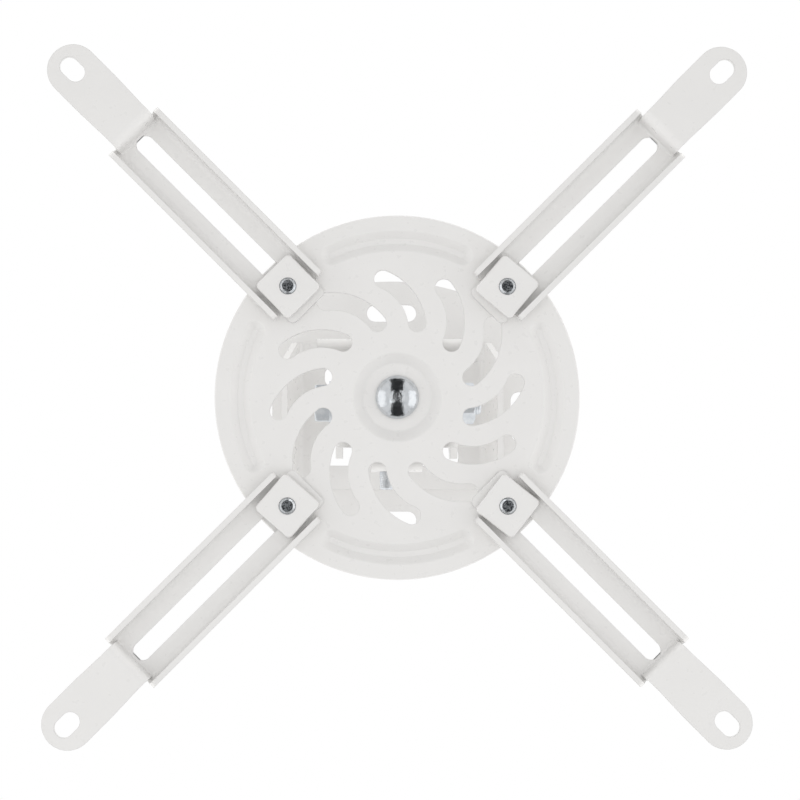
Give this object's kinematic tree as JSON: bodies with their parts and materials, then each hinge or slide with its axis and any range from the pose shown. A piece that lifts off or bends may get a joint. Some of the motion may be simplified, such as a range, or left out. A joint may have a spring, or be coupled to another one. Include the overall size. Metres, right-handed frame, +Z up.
{
  "type": "projector ceiling mount",
  "caption": "White sheet-metal ceiling mount for a projector: a post with a tilting bracket, a swivelling slotted disc and folded arms that swing and slide to meet the projector's screw holes.",
  "frame": {"origin": "centre of the ceiling plate's top face, which lies against the ceiling", "axes": "+Z up to the ceiling, +X along the tilt axis, +Y to the side of the bracket's front screw; the projector hangs below"},
  "size_m": [0.2406, 0.2406, 0.15],
  "materials": {
    "white_coat": "white powder coat with a fine grain, satin",
    "zinc": "bright zinc plating with a faint blue tone",
    "nylon": "natural nylon, matt"
  },
  "bodies": {
    "ceiling": {"ceiling_plate": "white_coat", "channel": "white_coat", "post": "white_coat"},
    "tilt": {"tilt_bracket": "white_coat", "friction_washer_left": "nylon", "friction_washer_right": "nylon", "side_washer_left": "nylon", "side_washer_right": "nylon", "tilt_bolt": "zinc", "tilt_washer": "zinc", "tilt_nut": "zinc", "front_screw": "zinc", "swivel_bolt": "zinc", "swivel_washer_lower": "zinc", "swivel_washer_upper": "zinc", "swivel_nut": "zinc"},
    "disc": {"disc": "white_coat"},
    "clamp_1": {"clamp_plate_1": "white_coat", "clamp_bolt_1": "zinc", "clamp_washer_1": "zinc"},
    "arm_1": {"arm_1": "white_coat"},
    "clamp_2": {"clamp_plate_2": "white_coat", "clamp_bolt_2": "zinc", "clamp_washer_2": "zinc"},
    "arm_2": {"arm_2": "white_coat"},
    "clamp_3": {"clamp_plate_3": "white_coat", "clamp_bolt_3": "zinc", "clamp_washer_3": "zinc"},
    "arm_3": {"arm_3": "white_coat"},
    "clamp_4": {"clamp_plate_4": "white_coat", "clamp_bolt_4": "zinc", "clamp_washer_4": "zinc"},
    "arm_4": {"arm_4": "white_coat"}
  },
  "joints": [
    {"name": "tilt", "type": "hinge", "parent": "ceiling", "child": "tilt", "pos_m": [0, 0, -0.098], "axis": [1, 0, 0], "range_deg": [-15, 15]},
    {"name": "swivel", "type": "hinge", "parent": "tilt", "child": "disc", "pos_m": [0, 0, -0.13795], "axis": [0, 0, 1], "continuous": true},
    {"name": "swing_1", "type": "hinge", "parent": "disc", "child": "clamp_1", "pos_m": [0.03783, 0.03783, -0.13795], "axis": [0, 0, 1], "range_deg": [-45, 45]},
    {"name": "slide_1", "type": "slide", "parent": "clamp_1", "child": "arm_1", "axis": [-0.7071, -0.7071, 0], "range_m": [0, 0.025]},
    {"name": "swing_2", "type": "hinge", "parent": "disc", "child": "clamp_2", "pos_m": [-0.03783, 0.03783, -0.13795], "axis": [0, 0, 1], "range_deg": [-45, 45]},
    {"name": "slide_2", "type": "slide", "parent": "clamp_2", "child": "arm_2", "axis": [0.7071, -0.7071, 0], "range_m": [0, 0.025]},
    {"name": "swing_3", "type": "hinge", "parent": "disc", "child": "clamp_3", "pos_m": [-0.03783, -0.03783, -0.13795], "axis": [0, 0, 1], "range_deg": [-45, 45]},
    {"name": "slide_3", "type": "slide", "parent": "clamp_3", "child": "arm_3", "axis": [0.7071, 0.7071, 0], "range_m": [0, 0.025]},
    {"name": "swing_4", "type": "hinge", "parent": "disc", "child": "clamp_4", "pos_m": [0.03783, -0.03783, -0.13795], "axis": [0, 0, 1], "range_deg": [-45, 45]},
    {"name": "slide_4", "type": "slide", "parent": "clamp_4", "child": "arm_4", "axis": [-0.7071, 0.7071, 0], "range_m": [0, 0.025]}
  ]
}
